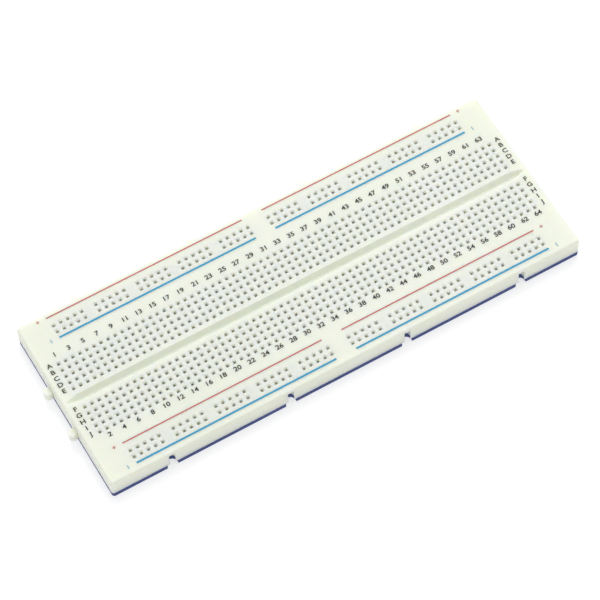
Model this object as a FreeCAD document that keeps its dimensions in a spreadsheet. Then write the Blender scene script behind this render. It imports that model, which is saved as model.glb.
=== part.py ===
"""Solderless breadboard with 840 tie points, modelled in millimetres.

The origin is the centre of the underside. +X runs along the columns from 1 to 64, +Y towards
row A and +Z up. From below: release liner, foam pad, spring clips, one-piece housing.
"""
import FreeCAD, Part
import math
import os
import re

import Sketcher

DIMENSIONS = {
    # outside of the board
    "body_length": 171.8,
    "body_width": 64.6,
    "total_height": 8.5,
    "liner_thick": 0.15,
    "foam_thick": 2.1,
    "foam_inset": 0.1,
    "corner_radius": 1.0,
    "top_radius": 0.8,
    # tie-point grid
    "pitch": 2.54,
    "column_count": 64,
    "row_count": 5,
    "row_e_y": 3.81,
    "rail_inner_y": 24.6,
    "rail_first_column": 3,
    "rail_group": 5,
    "hole_size": 0.85,
    "lead_in_size": 1.45,
    "lead_in_depth": 0.35,
    # pockets under the holes
    "skin": 1.2,
    "pocket_width": 1.8,
    "pocket_play": 0.2,
    # folded spring clips
    "clip_width": 1.6,
    "clip_gauge": 0.2,
    "channel_wall": 1.6,
    "pinch_height": 4.0,
    "pinch_gap": 0.12,
    "tip_height": 4.9,
    "tip_gap": 0.8,
    "finger_width": 1.7,
    "clip_end": 0.95,
    # groove between rows E and F
    "groove_half": 1.5,
    "groove_depth": 1.7,
    "groove_floor": 0.5,
    "groove_straight": 79,
    "groove_runout": 5.3,
    # locking tabs and notches
    "tab_width": 3.0,
    "tab_neck": 1.8,
    "tab_reach": 2.7,
    "tab_rise": 3.6,
    "notch_width": 3.2,
    "notch_neck": 2.1,
    "notch_reach": 2.8,
    "notch_rise": 5.4,
    "relief_width": 3.8,
    "relief_neck": 3.8,
    "relief_reach": 2.65,
    "lock_root": 0.6,
    "long_lock_step": 42.68,
    "long_lock_count": 4,
    "long_lock_shift": -0.38,
    "short_lock_step": 16.8,
    "short_lock_count": 2,
}

# lengths that follow from the dimensions above, written as the sheet's own expressions
BODY_BOTTOM = "liner_thick + foam_thick"
BODY_HEIGHT = f"(total_height - ({BODY_BOTTOM}))"
BLOCK_Y = "(row_e_y + pitch * (row_count - 1) / 2)"
FIRST_COLUMN_X = "(-pitch * (column_count - 1) / 2)"
TERMINAL_LENGTH = "(pitch * (row_count - 1) + 2 * clip_end)"
RAIL_STEP = "(pitch * (rail_group + 1))"
RAIL_SPAN = f"({RAIL_STEP} * (rail_group - 1) + pitch * (rail_group - 1))"
RAIL_LENGTH = f"({RAIL_SPAN} + 2 * clip_end)"
RAIL_CENTRE_X = f"(-({FIRST_COLUMN_X} + pitch * (rail_first_column - 1)) - {RAIL_SPAN} / 2)"
RUNOUT_RADIUS = "((groove_runout ^ 2 + groove_depth ^ 2) / (2 * groove_depth))"
RUNOUT_ANGLE = 40

COLUMNS_PER_GROUP = 4
TERMINAL_SIDES = {"a_e": 1, "f_j": -1}
RAIL_ROWS = {"a_side_plus": 2, "a_side_minus": 1, "j_side_plus": -1, "j_side_minus": -2}
RAIL_HALVES = {"left": -1, "right": 1}
PART_FOLDER = "parts"

doc = FreeCAD.newDocument("breadboard")
sheet = doc.addObject("Spreadsheet::Sheet", "dims")


def fill_sheet():
    for row, (alias, value) in enumerate(DIMENSIONS.items(), start=1):
        sheet.set(f"A{row}", alias)
        sheet.set(f"B{row}", str(value))
        sheet.setAlias(f"B{row}", alias)
    doc.recompute()


def expression(text):
    """The text with the sheet's name put before each dimension."""
    return re.sub(
        r"[a-z_]+", lambda word: f"dims.{word[0]}" if word[0] in DIMENSIONS else word[0], str(text)
    )


def number(text):
    value = sheet.evalExpression(expression(text))
    return float(getattr(value, "Value", value))


def bind(thing, **properties):
    """Binds properties to expressions; a double underscore stands for a dot."""
    for path, text in properties.items():
        thing.setExpression(path.replace("__", "."), expression(text))


def add_body(label):
    body = doc.addObject("PartDesign::Body", label)
    body.Label = label
    return body


def origin_plane(body, role):
    return next(part for part in body.Origin.OriginFeatures if part.Role == role)


def add_sketch(body, name, role, x=0, y=0, z=0, turn=0):
    """A sketch on one of the body's origin planes, shifted in that plane's own directions."""
    sketch = body.newObject("Sketcher::SketchObject", name)
    sketch.AttachmentSupport = [(origin_plane(body, role), "")]
    sketch.MapMode = "FlatFace"
    rotation = FreeCAD.Rotation(FreeCAD.Vector(0, 0, 1), turn)
    sketch.AttachmentOffset = FreeCAD.Placement(FreeCAD.Vector(), rotation)
    bind(sketch, AttachmentOffset__Base__x=x, AttachmentOffset__Base__y=y,
         AttachmentOffset__Base__z=z)
    return sketch


def pin(sketch, curve, end, x, y):
    """Holds one point of a curve at two expressions."""
    for kind, text in (("DistanceX", x), ("DistanceY", y)):
        if text is not None:
            index = sketch.addConstraint(
                Sketcher.Constraint(kind, -1, 1, curve, end, number(text)))
            sketch.setExpression(f"Constraints[{index}]", expression(text))


def draw_outline(sketch, corners):
    """A closed outline of straight sides through corners given as expressions."""
    first = sketch.GeometryCount
    places = [FreeCAD.Vector(number(x), number(y), 0) for x, y in corners]
    count = len(corners)
    for side in range(count):
        line = Part.LineSegment(places[side], places[(side + 1) % count])
        sketch.addGeometry(line, False)
    for side in range(count):
        following = first + (side + 1) % count
        sketch.addConstraint(Sketcher.Constraint("Coincident", first + side, 2, following, 1))
    for side, (x, y) in enumerate(corners):
        pin(sketch, first + side, 1, x, y)


def draw_rectangle(sketch, width, height):
    x, y = f"({width}) / 2", f"({height}) / 2"
    draw_outline(sketch, [(f"-{x}", f"-{y}"), (x, f"-{y}"), (x, y), (f"-{x}", y)])


def draw_bulb(sketch, shape):
    """A round head on a neck that starts lock_root behind the sketch's X axis.

    A neck as wide as the head makes a straight tongue with a half round end.
    """
    width, neck, reach = (f"{shape}_{size}" for size in ("width", "neck", "reach"))
    middle = f"({reach} - {width} / 2)"
    shoulder = f"({middle} - sqrt(({width} / 2) ^ 2 - ({neck} / 2) ^ 2))"
    half, low, high = number(f"{neck} / 2"), -number("lock_root"), number(shoulder)
    left, right = FreeCAD.Vector(-half, low, 0), FreeCAD.Vector(half, low, 0)
    left_end, right_end = FreeCAD.Vector(-half, high, 0), FreeCAD.Vector(half, high, 0)
    circle = Part.Circle(
        FreeCAD.Vector(0, number(middle), 0), FreeCAD.Vector(0, 0, 1), number(f"{width} / 2"))
    start = math.atan2(high - number(middle), half)
    for curve in (Part.LineSegment(left, right), Part.LineSegment(right, right_end),
                  Part.ArcOfCircle(circle, start, math.pi - start),
                  Part.LineSegment(left_end, left)):
        sketch.addGeometry(curve, False)
    for one in range(4):
        sketch.addConstraint(Sketcher.Constraint("Coincident", one, 2, (one + 1) % 4, 1))
    pin(sketch, 0, 1, f"-{neck} / 2", "-lock_root")
    pin(sketch, 0, 2, f"{neck} / 2", "-lock_root")
    pin(sketch, 1, 2, f"{neck} / 2", shoulder)
    pin(sketch, 3, 1, f"-{neck} / 2", shoulder)
    pin(sketch, 2, 3, None, middle)


def draw_groove_section(sketch):
    """A blunt V, carried straight up from the top face so that its swept end clears it."""
    right = [("groove_floor / 2", "total_height - groove_depth"), ("groove_half", "total_height"),
             ("groove_half", "total_height + groove_depth")]
    draw_outline(sketch, right + [(f"-{x}", y) for x, y in reversed(right)])


def add_extrusion(body, kind, name, sketch, length, symmetric=False):
    """A Pad or Pocket that goes along the sketch's normal, or both ways if symmetric."""
    feature = body.newObject(f"PartDesign::{kind}", name)
    feature.Profile = sketch
    feature.SideType = "Symmetric" if symmetric else "One side"
    feature.Reversed = kind == "Pocket"
    bind(feature, Length=length)
    sketch.Visibility = False
    before = feature.BaseFeature.Shape.Volume if feature.BaseFeature else 0
    doc.recompute()
    grown = feature.Shape.Volume - before
    if (grown > 0) != (kind == "Pad"):
        raise RuntimeError(f"{body.Label}: {name} points away from the solid")
    return feature


def add_pattern(body, name, originals, sketch, axis, length, count):
    pattern = body.newObject("PartDesign::LinearPattern", name)
    pattern.Originals = originals
    pattern.Direction = (sketch, [axis])
    bind(pattern, Length=length, Occurrences=count)
    body.Tip = pattern
    doc.recompute()
    return pattern


def add_fillet(body, name, base, wanted, radius):
    """Rounds the base's edges for which wanted(edge) is true."""
    fillet = body.newObject("PartDesign::Fillet", name)
    edges = [f"Edge{n}" for n, edge in enumerate(base.Shape.Edges, start=1) if wanted(edge)]
    fillet.Base = (base, edges)
    bind(fillet, Radius=radius)
    doc.recompute()
    return fillet


def is_upright(edge):
    return edge.BoundBox.ZLength > 1e-6 and edge.BoundBox.DiagonalLength - edge.BoundBox.ZLength < 1e-6


def add_slab(body, name, bottom, thickness, inset):
    """The board's rectangle with rounded corners, as a slab."""
    sketch = add_sketch(body, f"{name}_outline", "XY_Plane", z=bottom)
    draw_rectangle(sketch, f"body_length - 2 * {inset}", f"body_width - 2 * {inset}")
    slab = add_extrusion(body, "Pad", name, sketch, thickness)
    return add_fillet(body, f"{name}_corners", slab, is_upright, "corner_radius")


def add_lock_row(body, name, shape, side, bottom, rise):
    """A row of locking tabs, or of notches or reliefs cut for them, along one side of the board."""
    kind = "Pad" if shape == "tab" else "Pocket"
    along = "long" if side in ("near", "far") else "short"
    first = f"-{along}_lock_step * ({along}_lock_count - 1) / 2"
    places = {
        "near": (f"{first} + long_lock_shift", "-body_width / 2", 0),
        "far": (f"{first} + long_lock_shift", "body_width / 2", 0),
        "left": ("-body_length / 2", first, 90),
        "right": ("body_length / 2", first, 90),
    }
    x, y, turn = places[side]
    sketch = add_sketch(body, f"{name}_outline", "XY_Plane", x=x, y=y, z=bottom, turn=turn)
    draw_bulb(sketch, shape)
    one = add_extrusion(body, kind, f"{name}_first", sketch, rise)
    add_pattern(body, name, [one], sketch, "H_Axis",
                f"{along}_lock_step * ({along}_lock_count - 1)", f"{along}_lock_count")


def cut_groove(body):
    """The trough between rows E and F, which rises to the surface at both ends."""
    sketch = add_sketch(body, "groove_section", "YZ_Plane")
    draw_groove_section(sketch)
    add_extrusion(body, "Pocket", "groove", sketch, "2 * groove_straight", symmetric=True)
    sketch = add_sketch(body, "groove_end_section", "YZ_Plane", z="groove_straight")
    draw_groove_section(sketch)
    hinge = f"total_height - groove_depth + {RUNOUT_RADIUS}"
    axis = sketch.addGeometry(Part.LineSegment(
        FreeCAD.Vector(0, number(hinge), 0), FreeCAD.Vector(1, number(hinge), 0)), True)
    pin(sketch, axis, 1, 0, hinge)
    pin(sketch, axis, 2, 1, hinge)
    end = body.newObject("PartDesign::Groove", "groove_end")
    end.Profile = sketch
    end.ReferenceAxis = (sketch, ["Axis0"])
    end.Angle = RUNOUT_ANGLE
    end.Reversed = True
    before = end.BaseFeature.Shape.Volume
    doc.recompute()
    if end.Shape.Volume >= before or end.Shape.BoundBox.XLength < number("body_length"):
        raise RuntimeError("the groove's end cuts nothing")
    mirror = body.newObject("PartDesign::Mirrored", "groove_ends")
    mirror.Originals = [end]
    mirror.MirrorPlane = (origin_plane(body, "YZ_Plane"), [""])
    body.Tip = mirror
    doc.recompute()


def add_mirror(body, role):
    """A mirror step for a MultiTransform."""
    mirror = body.newObject("PartDesign::Mirrored", f"mirror_{role}")
    mirror.MirrorPlane = (origin_plane(body, role), [""])
    return mirror


def add_repeat(body, name, sketch, axis, length, count):
    """A linear step for a MultiTransform."""
    repeat = body.newObject("PartDesign::LinearPattern", name)
    repeat.Direction = (sketch, [axis])
    bind(repeat, Length=length, Occurrences=count)
    return repeat


def cut_pockets(body, name, x, y, width, height):
    """One clip pocket, open at the underside; returns it with its sketch."""
    sketch = add_sketch(body, f"{name}_outline", "XY_Plane", x=x, y=y, z=BODY_BOTTOM)
    draw_rectangle(sketch, width, height)
    pocket = add_extrusion(body, "Pocket", name, sketch, f"{BODY_HEIGHT} - skin")
    return pocket, sketch


def transform(body, name, original, steps):
    transformed = body.newObject("PartDesign::MultiTransform", name)
    transformed.Originals = [original]
    transformed.Transformations = steps
    body.Tip = transformed
    doc.recompute()


def tie_points():
    """The place of every hole, worked out from the grid."""
    pitch, first_x = number("pitch"), number(FIRST_COLUMN_X)
    group, rail_x = round(number("rail_group")), number(f"{RAIL_CENTRE_X} - {RAIL_SPAN} / 2")
    for side in TERMINAL_SIDES.values():
        for row in range(round(number("row_count"))):
            for column in range(round(number("column_count"))):
                yield first_x + pitch * column, side * (number("row_e_y") + pitch * row)
    for row in RAIL_ROWS.values():
        for half in RAIL_HALVES.values():
            for hole in range(group * group):
                x = rail_x + pitch * (hole + hole // group)
                yield half * x, number(rail_row_y(row))


def rail_row_y(row):
    """Rail rows are numbered 1 and 2 outwards from the terminal block, negative beside row J."""
    sign = 1 if row > 0 else -1
    return f"{sign} * (rail_inner_y + pitch * {abs(row) - 1})"


def square_wire(size, height):
    half = size / 2
    corners = [FreeCAD.Vector(x, y, height) for x, y in
               ((-half, -half), (half, -half), (half, half), (-half, half), (-half, -half))]
    return Part.makePolygon(corners)


def tie_point_cutter():
    """The hollow of one tie point: a square hole with a funnel above it."""
    top, funnel = number("total_height"), number("lead_in_depth")
    hole, mouth = number("hole_size"), number("lead_in_size")
    floor = top - number("skin") - number("pocket_play")
    shaft = Part.makeLoft([square_wire(hole, floor), square_wire(hole, top - funnel)], True, True)
    lead_in = Part.makeLoft([square_wire(hole, top - funnel), square_wire(mouth, top)], True, True)
    return shaft.fuse(lead_in).removeSplitter()


def make_housing():
    body = add_body("housing_blank")
    block = add_slab(body, "block", BODY_BOTTOM, BODY_HEIGHT, "0")
    top = block.Shape.BoundBox.ZMax
    add_fillet(body, "block_top", block, lambda edge: edge.BoundBox.ZMin > top - 1e-6, "top_radius")
    add_lock_row(body, "far_tabs", "tab", "far", BODY_BOTTOM, "tab_rise")
    add_lock_row(body, "left_tabs", "tab", "left", BODY_BOTTOM, "tab_rise")
    add_lock_row(body, "near_notches", "notch", "near", BODY_BOTTOM, "notch_rise")
    add_lock_row(body, "right_notches", "notch", "right", BODY_BOTTOM, "notch_rise")
    cut_groove(body)

    pocket, sketch = cut_pockets(body, "terminal_pocket", FIRST_COLUMN_X, BLOCK_Y,
                                 "pocket_width", f"{TERMINAL_LENGTH} + pocket_play")
    columns = add_repeat(body, "columns", sketch, "H_Axis", "pitch * (column_count - 1)",
                         "column_count")
    transform(body, "terminal_pockets", pocket, [columns, add_mirror(body, "XZ_Plane")])

    pocket, sketch = cut_pockets(body, "rail_pocket", RAIL_CENTRE_X, "rail_inner_y",
                                 f"{RAIL_LENGTH} + pocket_play", "pocket_width")
    rows = add_repeat(body, "rail_rows", sketch, "V_Axis", "pitch", 2)
    transform(body, "rail_pockets", pocket,
              [rows, add_mirror(body, "XZ_Plane"), add_mirror(body, "YZ_Plane")])

    cutter = tie_point_cutter()
    holes = doc.addObject("Part::Feature", "tie_point_cutters")
    holes.Shape = Part.makeCompound(
        [cutter.translated(FreeCAD.Vector(x, y, 0)) for x, y in tie_points()])
    housing = doc.addObject("Part::Cut", "housing")
    housing.Base = body
    housing.Tool = holes
    housing.Refine = False
    return housing


def finger_outline(side):
    """One spring finger in section: up the channel wall, in to the pinch, out to the tip."""
    outer, inner = "clip_width / 2", "clip_width / 2 - clip_gauge"
    corners = [
        (outer, "clip_gauge"), (outer, "channel_wall"),
        ("pinch_gap / 2 + clip_gauge", "pinch_height"),
        ("tip_gap / 2 + clip_gauge", "tip_height"), ("tip_gap / 2", "tip_height"),
        ("pinch_gap / 2", "pinch_height"), (inner, "channel_wall"), (inner, "clip_gauge"),
    ]
    return [(f"{side} * ({x})", y) for x, y in corners]


def add_channel(body, role, length):
    """The folded channel that joins a clip's fingers; returns its sketch."""
    outer, inner = "(clip_width / 2)", "(clip_width / 2 - clip_gauge)"
    sketch = add_sketch(body, "channel_section", role)
    draw_outline(sketch, [
        (f"-{outer}", 0), (outer, 0), (outer, "channel_wall"), (inner, "channel_wall"),
        (inner, "clip_gauge"), (f"-{inner}", "clip_gauge"), (f"-{inner}", "channel_wall"),
        (f"-{outer}", "channel_wall"),
    ])
    add_extrusion(body, "Pad", "channel", sketch, length, symmetric=True)
    return sketch


def add_fingers(body, role, reach):
    """The first finger pair, which stands at one end of the clip."""
    sketch = add_sketch(body, "finger_section", role, z=f"-{reach}")
    for side in (1, -1):
        draw_outline(sketch, finger_outline(side))
    return add_extrusion(body, "Pad", "first_fingers", sketch, "finger_width", symmetric=True)


def make_terminal_clips(label, first_column, side):
    """Neighbouring clips of one side of the groove, each under one column of five holes."""
    body = add_body(label)
    reach = "pitch * (row_count - 1) / 2"
    channel = add_channel(body, "XZ_Plane", TERMINAL_LENGTH)
    fingers = add_fingers(body, "XZ_Plane", reach)
    add_pattern(body, "finger_row", [fingers], channel, "N_Axis", f"2 * {reach}", "row_count")
    group = body.newObject("PartDesign::LinearPattern", "clip_group")
    group.TransformMode = "Whole shape"
    group.Direction = (channel, ["H_Axis"])
    bind(group, Length=f"pitch * {COLUMNS_PER_GROUP - 1}", Occurrences=COLUMNS_PER_GROUP)
    body.Tip = group
    bind(body, Placement__Base__x=f"{FIRST_COLUMN_X} + pitch * {first_column - 1}",
         Placement__Base__y=f"{side} * {BLOCK_Y}", Placement__Base__z=BODY_BOTTOM)
    return body


def make_rail_clip(label, row, half):
    """One long clip under half of a rail row: five groups of five finger pairs."""
    body = add_body(label)
    channel = add_channel(body, "YZ_Plane", RAIL_LENGTH)
    fingers = add_fingers(body, "YZ_Plane", f"{RAIL_SPAN} / 2")
    row_of_groups = add_pattern(body, "finger_groups", [fingers], channel, "N_Axis",
                                "pitch * (rail_group - 1)", "rail_group")
    row_of_groups.Direction2 = (channel, ["N_Axis"])
    bind(row_of_groups, Length2=f"{RAIL_STEP} * (rail_group - 1)", Occurrences2="rail_group")
    bind(body, Placement__Base__x=f"{half} * {RAIL_CENTRE_X}",
         Placement__Base__y=rail_row_y(row), Placement__Base__z=BODY_BOTTOM)
    return body


def make_backing(label, bottom, thickness):
    """A layer of the adhesive backing, cut out around the notches."""
    body = add_body(label)
    add_slab(body, "layer", bottom, thickness, "foam_inset")
    add_lock_row(body, "near_reliefs", "relief", "near", bottom, thickness)
    add_lock_row(body, "right_reliefs", "relief", "right", bottom, thickness)
    return body


def make_parts():
    pieces = [make_housing()]
    for sides, sign in TERMINAL_SIDES.items():
        for first in range(1, round(number("column_count")) + 1, COLUMNS_PER_GROUP):
            last = first + COLUMNS_PER_GROUP - 1
            label = f"terminal_clips_{sides}_cols_{first:02d}_{last:02d}"
            pieces.append(make_terminal_clips(label, first, sign))
    for row_name, row in RAIL_ROWS.items():
        for half_name, half in RAIL_HALVES.items():
            pieces.append(make_rail_clip(f"rail_clip_{row_name}_{half_name}", row, half))
    pieces.append(make_backing("foam_pad", "liner_thick", "foam_thick"))
    pieces.append(make_backing("release_liner", "0", "liner_thick"))
    doc.recompute()
    return pieces


def check_document(pieces):
    for thing in doc.Objects:
        if {"Invalid", "Error"} & set(thing.State):
            raise RuntimeError(f"{thing.Label} failed: {thing.State}")
    for piece in pieces:
        if piece.Shape.isNull() or not piece.Shape.isValid():
            raise RuntimeError(f"{piece.Label} has no valid shape")


def export(pieces):
    os.makedirs(PART_FOLDER, exist_ok=True)
    for piece in pieces:
        piece.Shape.exportStep(os.path.join(PART_FOLDER, f"{piece.Label}.step"))
        print(piece.Label, len(piece.Shape.Solids), round(piece.Shape.Volume, 2))


fill_sheet()
all_pieces = make_parts()
check_document(all_pieces)
export(all_pieces)
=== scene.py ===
"""Looks of the solderless breadboard: printed ink, materials, studio and camera.

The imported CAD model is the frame. Everything is in metres, with +X along the columns, +Y towards
row A and +Z up.
"""

import math

import bmesh
import bpy
from mathutils import Matrix, Vector


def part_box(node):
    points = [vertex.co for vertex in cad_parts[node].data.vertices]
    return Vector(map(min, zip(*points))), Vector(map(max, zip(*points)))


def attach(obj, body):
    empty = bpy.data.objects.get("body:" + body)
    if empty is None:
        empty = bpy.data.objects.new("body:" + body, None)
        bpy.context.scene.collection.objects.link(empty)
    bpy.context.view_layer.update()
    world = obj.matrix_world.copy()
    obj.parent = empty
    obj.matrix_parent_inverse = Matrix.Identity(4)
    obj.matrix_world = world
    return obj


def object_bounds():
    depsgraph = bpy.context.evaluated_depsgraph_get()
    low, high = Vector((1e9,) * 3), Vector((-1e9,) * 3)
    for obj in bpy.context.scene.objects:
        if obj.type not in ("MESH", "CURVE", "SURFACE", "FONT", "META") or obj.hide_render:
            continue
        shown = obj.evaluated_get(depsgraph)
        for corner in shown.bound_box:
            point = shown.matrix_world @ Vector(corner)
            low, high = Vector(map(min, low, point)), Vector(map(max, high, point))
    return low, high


MM = 0.001
SAME_PLACE = 1e-7  # points nearer than this are one point

# camera: the point it looks at, and where it stands as seen from there
CAMERA_TARGET = Vector((-2.757, -5.091, 8.583)) * MM
CAMERA_AZIMUTH, CAMERA_ELEVATION = math.radians(-27.086), math.radians(60.386)
CAMERA_ROLL = math.radians(-3.214)
CAMERA_DISTANCE = 0.95766
CAMERA_LENS, CAMERA_SENSOR = 179.8, 36.0

# light
FLOOR_SIDE, FLOOR_GAP = 5.0, 0.2 * MM
FLOOR_GLOW = 0.65
SKY_HORIZON, SKY_ZENITH = 0.1, 0.9
KEY_AZIMUTH, KEY_ELEVATION = math.radians(150), math.radians(55)
KEY_DISTANCE, KEY_SIZE, KEY_POWER = 1.6, 1.0, 12.0

# ink: it stands INK_THICK above the top face and reaches INK_SUNK below it
INK_THICK, INK_SUNK = 0.015 * MM, 0.005 * MM
EDGE_WAVE, EDGE_STEP = 0.012 * MM, 1.2 * MM
RED_WIDTH, BLUE_WIDTH = 0.44 * MM, 0.68 * MM
LINE_INNER, LINE_OUTER = 3.66 * MM, 75.45 * MM
LINE_SPREAD = 4.11 * MM
SIGN_X = 78.4 * MM
PLUS_SIZE, MINUS_SIZE, SIGN_STROKE = 1.25 * MM, 1.45 * MM, 0.24 * MM
CAP_HEIGHT, TEXT_STRETCH = 1.55 * MM, 1.15
# in the font's units; outlines that are wider or finer than this can break, such as the 9's
TEXT_WEIGHT, TEXT_FINENESS = 0.022, 5
NUMBER_OUT, LETTER_OUT = 3.0 * MM, 3.1 * MM
# how far each print is off its place
ODD_SHIFT, EVEN_SHIFT = Vector((0.3, 0, 0)) * MM, Vector((-0.35, 0, 0)) * MM
RED_SHIFT = Vector((-0.48, 0.56, 0)) * MM
BLUE_SHIFT = Vector((0.15, 0.52, 0)) * MM
BLACK_SHIFT = Vector((0.1, 0.6, 0)) * MM
ROW_LETTERS = "ABCDEFGHIJ"

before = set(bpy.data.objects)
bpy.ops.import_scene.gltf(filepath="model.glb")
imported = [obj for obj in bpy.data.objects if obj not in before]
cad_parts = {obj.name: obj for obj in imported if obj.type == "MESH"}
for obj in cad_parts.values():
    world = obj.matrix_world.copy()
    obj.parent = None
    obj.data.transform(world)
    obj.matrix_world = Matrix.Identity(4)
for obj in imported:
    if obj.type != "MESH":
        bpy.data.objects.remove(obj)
cad_low, cad_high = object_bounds()
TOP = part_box("housing")[1].z


# ---------------------------------------------------------------- grid, read from the clips
def centre(node):
    """Middle of a CAD node's box."""
    low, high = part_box(node)
    return (low + high) / 2


def grid():
    """Pitch, column count, x of column 1, and the y of rows A to J."""
    groups = sorted(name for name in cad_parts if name.startswith("terminal_clips_a_e"))
    columns = int(groups[-1].rsplit("_", 1)[1])
    per_group = columns // len(groups)
    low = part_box(groups[0])[0].x
    pitch = (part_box(groups[-1])[0].x - low) / (columns - per_group)
    first_x = centre(groups[0]).x - pitch * (per_group - 1) / 2
    upper, lower = centre(groups[0]).y, centre(groups[0].replace("a_e", "f_j")).y
    rows = [block + pitch * step for block in (upper, lower) for step in (2, 1, 0, -1, -2)]
    return pitch, columns, first_x, rows


PITCH, COLUMNS, COLUMN_ONE_X, ROW_Y = grid()


def rail_centre_y(side):
    """Middle of the two rows of one rail; side is a_side or j_side."""
    return (centre(f"rail_clip_{side}_plus_left").y + centre(f"rail_clip_{side}_minus_left").y) / 2


# ---------------------------------------------------------------- mesh helpers
def add_ink(name, mesh_data, material):
    """A printed piece, which rides on the board."""
    piece = bpy.data.objects.new(name, mesh_data)
    bpy.context.scene.collection.objects.link(piece)
    mesh_data.materials.clear()
    mesh_data.materials.append(material)
    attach(piece, "board")


def mesh_from(builder, name):
    """A mesh of what builder(bm) makes."""
    bm = bmesh.new()
    builder(bm)
    bmesh.ops.remove_doubles(bm, verts=bm.verts, dist=SAME_PLACE)
    bmesh.ops.recalc_face_normals(bm, faces=bm.faces)
    data = bpy.data.meshes.new(name)
    bm.to_mesh(data)
    bm.free()
    return data


def add_ink_strip(bm, start, end, width):
    """A thin closed strip of ink on the top face; its edges waver a little, as printed ones do."""
    along = (end - start).normalized()
    across = Vector((-along.y, along.x, 0))
    count = max(2, round((end - start).length / EDGE_STEP))
    rings = []
    for i in range(count + 1):
        place = start.lerp(end, i / count)
        phase = (place.x + 2.3 * place.y) / MM
        left = width / 2 + EDGE_WAVE * math.sin(1.7 * phase) * math.sin(0.61 * phase)
        right = width / 2 + EDGE_WAVE * math.sin(1.3 * phase + 2) * math.cos(0.47 * phase)
        ring = []
        for side, height in ((left, -INK_SUNK), (left, INK_THICK), (-right, INK_THICK),
                             (-right, -INK_SUNK)):
            ring.append(bm.verts.new(place + across * side + Vector((0, 0, TOP + height))))
        rings.append(ring)
    for ring, following in zip(rings, rings[1:]):
        for k in range(4):
            bm.faces.new((ring[k], ring[(k + 1) % 4], following[(k + 1) % 4], following[k]))
    bm.faces.new(rings[0])
    bm.faces.new(rings[-1])


def text_mesh(words):
    """The words as a closed slab, one unit thick about z = 0, in the font's own units."""
    curve = bpy.data.curves.new("words", "FONT")
    curve.body = words
    curve.align_x, curve.align_y = "CENTER", "TOP_BASELINE"
    curve.offset = TEXT_WEIGHT
    curve.extrude = 0.5
    curve.resolution_u = TEXT_FINENESS
    holder = bpy.data.objects.new("words", curve)
    bpy.context.scene.collection.objects.link(holder)
    bpy.context.view_layer.update()
    data = bpy.data.meshes.new_from_object(holder.evaluated_get(
        bpy.context.evaluated_depsgraph_get()))
    bpy.data.objects.remove(holder)
    bpy.data.curves.remove(curve)
    return data


def reach(data, axis):
    """Lowest and highest coordinate of a mesh along one axis."""
    values = [vertex.co[axis] for vertex in data.vertices]
    return min(values), max(values)


def add_words(bm, words, cap_units, place):
    """Adds the words to bm on the top face, with the middle of their capitals at place."""
    data = text_mesh(words)
    scale = CAP_HEIGHT / cap_units
    data.transform(Matrix.Diagonal((TEXT_STRETCH * scale, scale, INK_THICK + INK_SUNK, 1)))
    data.transform(Matrix.Translation((
        place.x - sum(reach(data, 0)) / 2, place.y - CAP_HEIGHT / 2,
        TOP + (INK_THICK - INK_SUNK) / 2)))
    bm.from_mesh(data)
    bpy.data.meshes.remove(data)


def cap_height_units():
    """Height of a capital in the font's own units, without the added weight."""
    data = text_mesh("H")
    low, high = reach(data, 1)
    bpy.data.meshes.remove(data)
    return high - low - 2 * TEXT_WEIGHT


# ---------------------------------------------------------------- printed ink
def add_rail_lines(name, side_sign, shift, width, material):
    """The lines of one colour, in two halves; side_sign is 1 above a rail and -1 below it."""
    def build(bm):
        for side in ("a_side", "j_side"):
            y = rail_centre_y(side) + side_sign * LINE_SPREAD
            for half in (-1, 1):
                start = Vector((half * LINE_INNER, y, 0)) + shift
                end = Vector((half * LINE_OUTER, y, 0)) + shift
                add_ink_strip(bm, start, end, width)
    add_ink(name, mesh_from(build, name), material)


def add_signs(name, side_sign, shift, material, is_plus):
    """The plus or minus signs at the ends of the rail lines; the minus runs across the board."""
    def build(bm):
        size = PLUS_SIZE if is_plus else MINUS_SIZE
        for side in ("a_side", "j_side"):
            y = rail_centre_y(side) + side_sign * LINE_SPREAD
            for half in (-1, 1):
                middle = Vector((half * SIGN_X, y, 0)) + shift
                stroke = Vector((0, size / 2, 0))
                add_ink_strip(bm, middle - stroke, middle + stroke, SIGN_STROKE)
                if is_plus:
                    arm, inner = Vector((size / 2, 0, 0)), Vector((SIGN_STROKE / 2, 0, 0))
                    add_ink_strip(bm, middle - arm, middle - inner, SIGN_STROKE)
                    add_ink_strip(bm, middle + inner, middle + arm, SIGN_STROKE)
    add_ink(name, mesh_from(build, name), material)


def add_numbers(material):
    """Odd columns are numbered beside row A and even columns beside row J."""
    cap_units = cap_height_units()

    def build(bm):
        for column in range(1, COLUMNS + 1):
            x = COLUMN_ONE_X + PITCH * (column - 1)
            y, shift = ROW_Y[0] + NUMBER_OUT, ODD_SHIFT
            if column % 2 == 0:
                y, shift = ROW_Y[-1] - NUMBER_OUT, EVEN_SHIFT
            add_words(bm, str(column), cap_units, Vector((x, y, 0)) + BLACK_SHIFT + shift)
    add_ink("column_numbers", mesh_from(build, "column_numbers"), material)


def add_letters(material):
    """The row letters, at both ends of the rows."""
    cap_units = cap_height_units()
    last_x = COLUMN_ONE_X + PITCH * (COLUMNS - 1)

    def build(bm):
        for letter, y in zip(ROW_LETTERS, ROW_Y):
            for x in (COLUMN_ONE_X - LETTER_OUT, last_x + LETTER_OUT):
                add_words(bm, letter, cap_units, Vector((x, y, 0)) + BLACK_SHIFT)
    add_ink("row_letters", mesh_from(build, "row_letters"), material)


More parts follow.
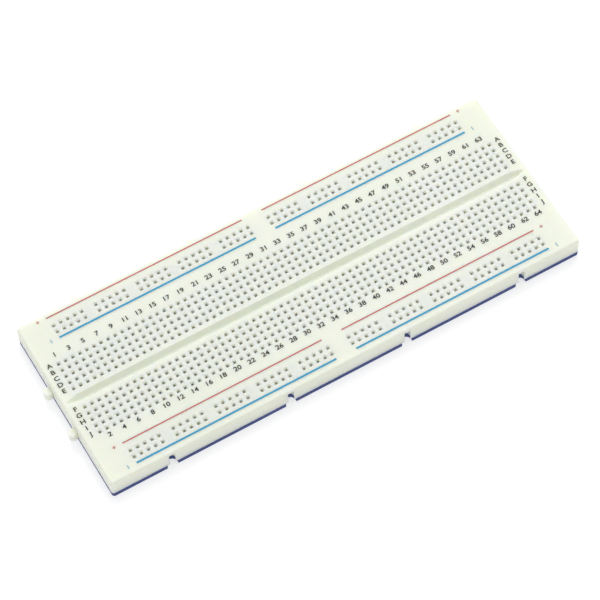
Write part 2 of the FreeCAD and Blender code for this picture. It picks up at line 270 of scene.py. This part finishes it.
# ---------------------------------------------------------------- materials
class Nodes:
    """Short ways to add nodes to one material."""

    def __init__(self, name):
        self.material = bpy.data.materials.new(name)
        self.material.use_nodes = True
        self.tree = self.material.node_tree
        self.shader = self.tree.nodes["Principled BSDF"]
        self.place = self.tree.nodes.new("ShaderNodeTexCoord").outputs["Object"]

    def add(self, kind, **sockets):
        """A new node with its inputs set; an underscore stands for a space in their names."""
        node = self.tree.nodes.new(kind)
        for name, value in sockets.items():
            self.set(node, name.replace("_", " "), value)
        return node

    def set(self, node, name, value):
        """Links an output to an input, or gives the input a constant value."""
        socket = node.inputs[name]
        if isinstance(value, bpy.types.NodeSocket):
            self.tree.links.new(value, socket)
        else:
            socket.default_value = value

    def noise(self, scale, detail=3.0, roughness=0.5, stretch=None):
        """Noise from 0 to 1; scale is its cells per metre."""
        vector = self.place
        if stretch:
            mapping = self.add("ShaderNodeMapping", Vector=vector, Scale=stretch)
            vector = mapping.outputs[0]
        node = self.add("ShaderNodeTexNoise", Vector=vector, Scale=scale, Detail=detail,
                        Roughness=roughness)
        return node.outputs["Fac"]

    def ramp(self, value, low, high, to_low, to_high):
        """A value moved from one range to another."""
        node = self.add("ShaderNodeMapRange", Value=value, From_Min=low, From_Max=high,
                        To_Min=to_low, To_Max=to_high)
        return node.outputs[0]

    def mix(self, factor, one, other):
        """Two colours mixed; a Mix node's colour version has its inputs at 0, 6 and 7."""
        node = self.tree.nodes.new("ShaderNodeMix")
        node.data_type = "RGBA"
        for index, value in ((0, factor), (6, one), (7, other)):
            socket = node.inputs[index]
            if isinstance(value, bpy.types.NodeSocket):
                self.tree.links.new(value, socket)
            elif index:
                socket.default_value = (*value, 1.0)
            else:
                socket.default_value = value
        return node.outputs[2]

    def bump(self, height, strength, distance, below=None):
        """A bumped normal, on top of the one below it."""
        node = self.add("ShaderNodeBump", Height=height, Strength=strength, Distance=distance)
        if below is not None:
            self.set(node, "Normal", below)
        return node.outputs[0]

    def shade(self, **sockets):
        """Sets the shader's own inputs and gives the finished material."""
        for name, value in sockets.items():
            self.set(self.shader, name.replace("_", " "), value)
        return self.material


def housing_material():
    """Cream ABS: spark-eroded grain, faint flow mottle and satin gloss; light spreads in it, and a
    faint painted glow lightens it all over.
    """
    n = Nodes("cream_abs")
    mottle = n.ramp(n.noise(28.0, 4.0), 0.3, 0.7, 0.0, 1.0)
    colour = n.mix(mottle, (0.815, 0.845, 0.730), (0.845, 0.868, 0.765))
    speck = n.ramp(n.noise(2600.0, 2.0), 0.62, 0.75, 0.0, 0.25)
    colour = n.mix(speck, colour, (0.76, 0.79, 0.69))
    grain = n.noise(5200.0, 2.0, 0.6)
    wave = n.noise(160.0, 2.0)
    normal = n.bump(wave, 0.25, 0.00004)
    normal = n.bump(grain, 0.35, 0.00001, normal)
    rough = n.ramp(n.noise(900.0, 3.0), 0.3, 0.7, 0.40, 0.54)
    return n.shade(Base_Color=colour, Roughness=rough, Normal=normal, IOR=1.53,
                   # painted glow: a faint even emission that lightens the plastic and the shade in
                   # its holes
                   Emission_Color=(0.93, 1.0, 0.86, 1.0), Emission_Strength=0.03,
                   Subsurface_Weight=1.0, Subsurface_Scale=0.003,
                   Subsurface_Radius=(1.0, 0.9, 0.7))


def contact_material():
    """Nickel-plated spring metal with the fine lines of a rolled strip."""
    n = Nodes("nickel_plated_spring")
    lines = n.noise(9000.0, 2.0, 0.6, stretch=(1.0, 1.0, 0.04))
    patch = n.ramp(n.noise(420.0, 3.0), 0.35, 0.65, 0.0, 1.0)
    colour = n.mix(patch, (0.80, 0.78, 0.73), (0.88, 0.865, 0.82))
    rough = n.ramp(lines, 0.3, 0.7, 0.26, 0.44)
    return n.shade(Base_Color=colour, Roughness=rough, Metallic=1.0,
                   Normal=n.bump(lines, 0.3, 0.00001))


def foam_material():
    """Closed-cell foam: small round cells, cut open at the edges, with painted shade in their
    hollows.
    """
    n = Nodes("blue_foam")
    cells = n.add("ShaderNodeTexVoronoi", Vector=n.place, Scale=3200.0).outputs["Distance"]
    # painted shade: the colour darkens towards the middle of each cell, where the bump makes its
    # pit
    shade = n.ramp(cells, 0.1, 0.75, 0.0, 1.0)
    tone = n.mix(n.noise(60.0, 3.0), (0.068, 0.099, 0.283), (0.096, 0.134, 0.345))
    colour = n.mix(shade, (0.04, 0.058, 0.168), tone)
    return n.shade(Base_Color=colour, Roughness=n.ramp(shade, 0.0, 1.0, 0.95, 0.78),
                   Normal=n.bump(cells, 0.8, 0.00012), Specular_IOR_Level=0.3)


def liner_material():
    """Blue siliconised film: smooth, with faint ripples."""
    n = Nodes("blue_liner_film")
    ripple = n.noise(55.0, 3.0, 0.5, stretch=(1.0, 2.2, 1.0))
    colour = n.mix(n.noise(300.0, 4.0), (0.084, 0.121, 0.345), (0.106, 0.15, 0.40))
    rough = n.ramp(n.noise(1500.0, 3.0), 0.3, 0.7, 0.30, 0.44)
    return n.shade(Base_Color=colour, Roughness=rough, Normal=n.bump(ripple, 0.5, 0.0004))


def ink_material(name, dense, thin):
    """Pad-printed ink: slightly uneven cover with tiny voids."""
    n = Nodes(name)
    cover = n.ramp(n.noise(3800.0, 4.0, 0.65), 0.36, 0.62, 0.0, 1.0)
    drift = n.ramp(n.noise(140.0, 2.0), 0.3, 0.7, 0.0, 0.35)
    colour = n.mix(cover, thin, dense)
    colour = n.mix(drift, colour, thin)
    return n.shade(Base_Color=colour, Roughness=n.ramp(cover, 0.0, 1.0, 0.62, 0.5),
                   Normal=n.bump(cover, 0.2, 0.000008))


def give_materials():
    """Puts a material on every CAD node."""
    plastic, metal = housing_material(), contact_material()
    foam, film = foam_material(), liner_material()
    special = {"housing": plastic, "foam_pad": foam, "release_liner": film}
    for name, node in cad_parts.items():
        node.data.materials.clear()
        node.data.materials.append(special.get(name, metal))


# ---------------------------------------------------------------- studio
def add_floor():
    """A pale floor just under the board."""
    half = FLOOR_SIDE / 2
    data = bpy.data.meshes.new("floor")
    corners = [(-half, -half, 0), (half, -half, 0), (half, half, 0), (-half, half, 0)]
    data.from_pydata(corners, [], [(0, 1, 2, 3)])
    floor = bpy.data.objects.new("floor", data)
    bpy.context.scene.collection.objects.link(floor)
    floor.location.z = cad_low.z - FLOOR_GAP
    n = Nodes("pale_floor")
    tone = n.mix(n.noise(3.0, 2.0), (0.49, 0.49, 0.49), (0.51, 0.51, 0.51))
    data.materials.append(n.shade(Base_Color=tone, Roughness=0.8, Emission_Strength=FLOOR_GLOW,
                                  Emission_Color=(1, 1, 1, 1)))


def direction(azimuth, elevation):
    """Unit vector towards a place; azimuth 0 is in front, at -Y, and grows towards +X."""
    return Vector((math.sin(azimuth) * math.cos(elevation),
                   -math.cos(azimuth) * math.cos(elevation), math.sin(elevation)))


def add_key_light():
    """A square soft light from behind, aimed at the board."""
    back = direction(KEY_AZIMUTH, KEY_ELEVATION)
    lamp = bpy.data.lights.new("key", "AREA")
    lamp.shape, lamp.size, lamp.energy = "SQUARE", KEY_SIZE, KEY_POWER
    holder = bpy.data.objects.new("key", lamp)
    bpy.context.scene.collection.objects.link(holder)
    holder.location = back * KEY_DISTANCE
    holder.rotation_mode = "QUATERNION"
    holder.rotation_quaternion = (-back).to_track_quat("-Z", "Y")


def add_sky():
    """A white sky that is dimmer towards the horizon, as under an overhead softbox."""
    world = bpy.data.worlds.new("studio")
    world.use_nodes = True
    tree = world.node_tree
    ray = tree.nodes.new("ShaderNodeTexCoord").outputs["Generated"]
    split = tree.nodes.new("ShaderNodeSeparateXYZ")
    ramp = tree.nodes.new("ShaderNodeMapRange")
    ramp.inputs["To Min"].default_value = SKY_HORIZON
    ramp.inputs["To Max"].default_value = SKY_ZENITH
    background = tree.nodes["Background"]
    background.inputs["Color"].default_value = (1.0, 1.0, 1.0, 1.0)
    tree.links.new(ray, split.inputs[0])
    tree.links.new(split.outputs["Z"], ramp.inputs["Value"])
    tree.links.new(ramp.outputs[0], background.inputs["Strength"])
    bpy.context.scene.world = world


def add_camera():
    """A long lens that looks down on the board."""
    camera = bpy.data.cameras.new("camera")
    camera.lens, camera.sensor_width = CAMERA_LENS, CAMERA_SENSOR
    camera.clip_start, camera.clip_end = 0.05, 20.0
    holder = bpy.data.objects.new("camera", camera)
    bpy.context.scene.collection.objects.link(holder)
    back = direction(CAMERA_AZIMUTH, CAMERA_ELEVATION)
    holder.location = CAMERA_TARGET + back * CAMERA_DISTANCE
    holder.rotation_mode = "QUATERNION"
    aim = (-back).to_track_quat("-Z", "Y")
    holder.rotation_quaternion = aim @ Matrix.Rotation(CAMERA_ROLL, 3, "Z").to_quaternion()
    bpy.context.scene.camera = holder


# ---------------------------------------------------------------- build
bpy.context.scene.view_settings.view_transform = "Standard"
add_camera()
add_sky()
add_key_light()
add_floor()
give_materials()

red = ink_material("red_ink", (0.50, 0.07, 0.07), (0.56, 0.12, 0.12))
blue = ink_material("blue_ink", (0.0, 0.29, 0.52), (0.01, 0.34, 0.58))
black = ink_material("black_ink", (0.006, 0.006, 0.006), (0.016, 0.016, 0.015))
add_rail_lines("red_rail_lines", 1, RED_SHIFT, RED_WIDTH, red)
add_rail_lines("blue_rail_lines", -1, BLUE_SHIFT, BLUE_WIDTH, blue)
add_signs("plus_signs", 1, RED_SHIFT, red, is_plus=True)
add_signs("minus_signs", -1, BLUE_SHIFT, blue, is_plus=False)
add_numbers(black)
add_letters(black)
